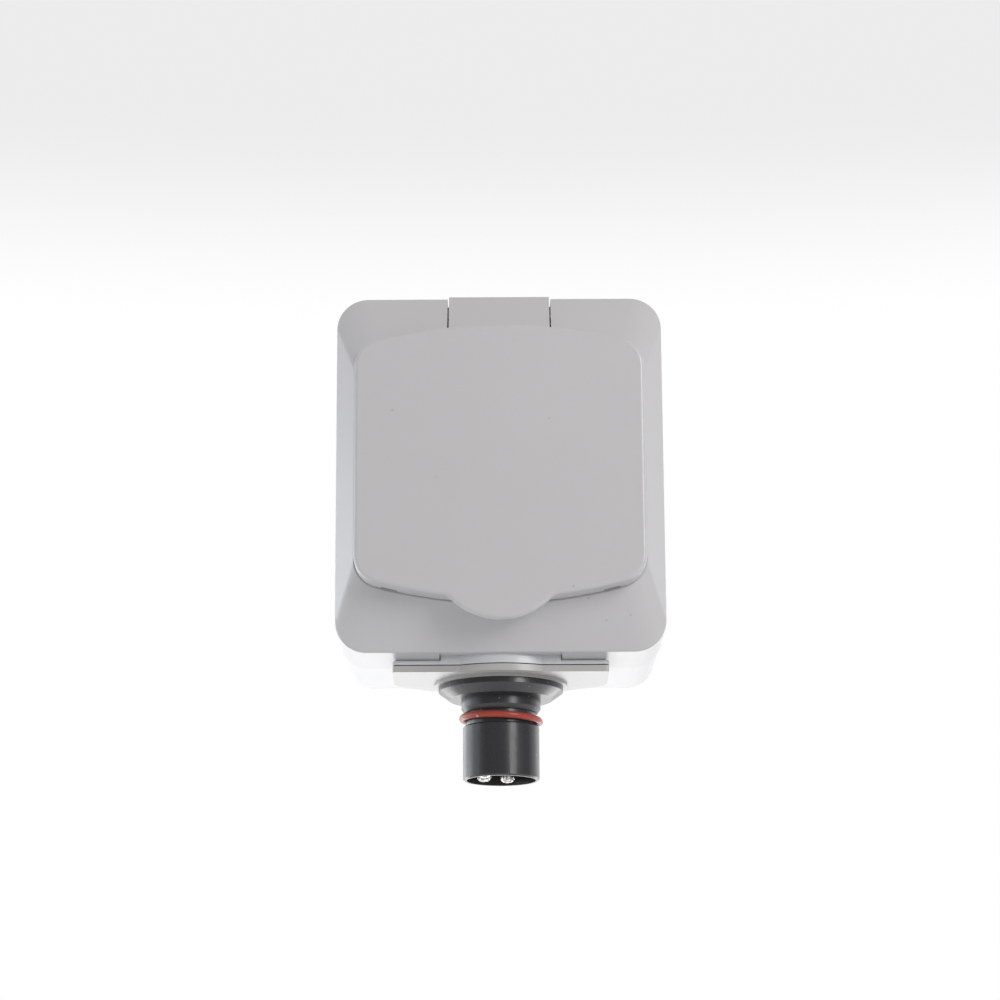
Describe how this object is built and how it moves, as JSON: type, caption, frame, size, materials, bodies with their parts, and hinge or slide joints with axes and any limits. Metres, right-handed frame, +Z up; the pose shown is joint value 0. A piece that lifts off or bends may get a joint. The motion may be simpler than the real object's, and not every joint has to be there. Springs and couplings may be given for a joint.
{
  "type": "surface-mounted schuko socket",
  "caption": "Grey surface-mounted earthed wall socket with a sprung hinged lid and a round black plug-in connector with a red sealing ring underneath.",
  "frame": {"origin": "centre of the wall face, on the back of the base box", "axes": "+X to the right seen from the front, +Y into the wall, +Z up"},
  "size_m": [0.066, 0.0522, 0.097],
  "materials": {
    "cover_plastic": "fine satin moulded light grey thermoplastic",
    "base_plastic": "fine satin moulded pale grey thermoplastic",
    "adapter_plastic": "satin moulded cool light grey thermoplastic",
    "flange_plastic": "satin moulded warm light grey thermoplastic",
    "connector_plastic": "satin black thermoplastic",
    "block_plastic": "matt off-white insulating moulding",
    "seal_rubber": "matt dark grey elastomer",
    "ring_silicone": "semi-matt red silicone",
    "contact_brass": "bright turned and pressed brass",
    "pin_silver": "silver-plated turned pins",
    "steel": "zinc-plated steel",
    "spring_steel": "bright spring steel",
    "wire_brown": "brown insulation",
    "wire_blue": "blue insulation",
    "wire_green": "green insulation with a yellow stripe"
  },
  "bodies": {
    "housing": {"base_box": "base_plastic", "front_cover": "cover_plastic", "plug_well": "cover_plastic", "hinge_pin": "steel", "lid_spring": "spring_steel", "contact_block": "block_plastic", "block_back_plate": "block_plastic", "live_contact": "contact_brass", "neutral_contact": "contact_brass", "earth_terminal": "contact_brass", "earth_bow": "spring_steel", "live_terminal_screw": "steel", "neutral_terminal_screw": "steel", "earth_terminal_screw": "steel", "cover_screw_1": "steel", "cover_screw_2": "steel", "block_screw_1": "steel", "block_screw_2": "steel", "entry_adapter": "adapter_plastic", "joint_gasket": "seal_rubber", "connector_flange": "flange_plastic", "connector_shell": "connector_plastic", "connector_insert": "connector_plastic", "connector_pin_live": "pin_silver", "connector_pin_earth": "pin_silver", "connector_pin_neutral": "pin_silver", "live_wire": "wire_brown", "earth_wire": "wire_green", "neutral_wire": "wire_blue", "sealing_ring": "ring_silicone", "nut_washer": "seal_rubber", "lock_nut": "connector_plastic"},
    "lid": {"hinged_lid": "cover_plastic", "lid_gasket": "seal_rubber"}
  },
  "joints": [
    {"name": "lid_hinge", "type": "hinge", "parent": "housing", "child": "lid", "pos_m": [0, -0.0395, 0.0334], "axis": [-1, 0, 0], "range_deg": [0, 105], "stiffness_Nm_per_rad": 0.02, "springref_deg": -34.38, "deforming": ["lid_spring"]}
  ]
}
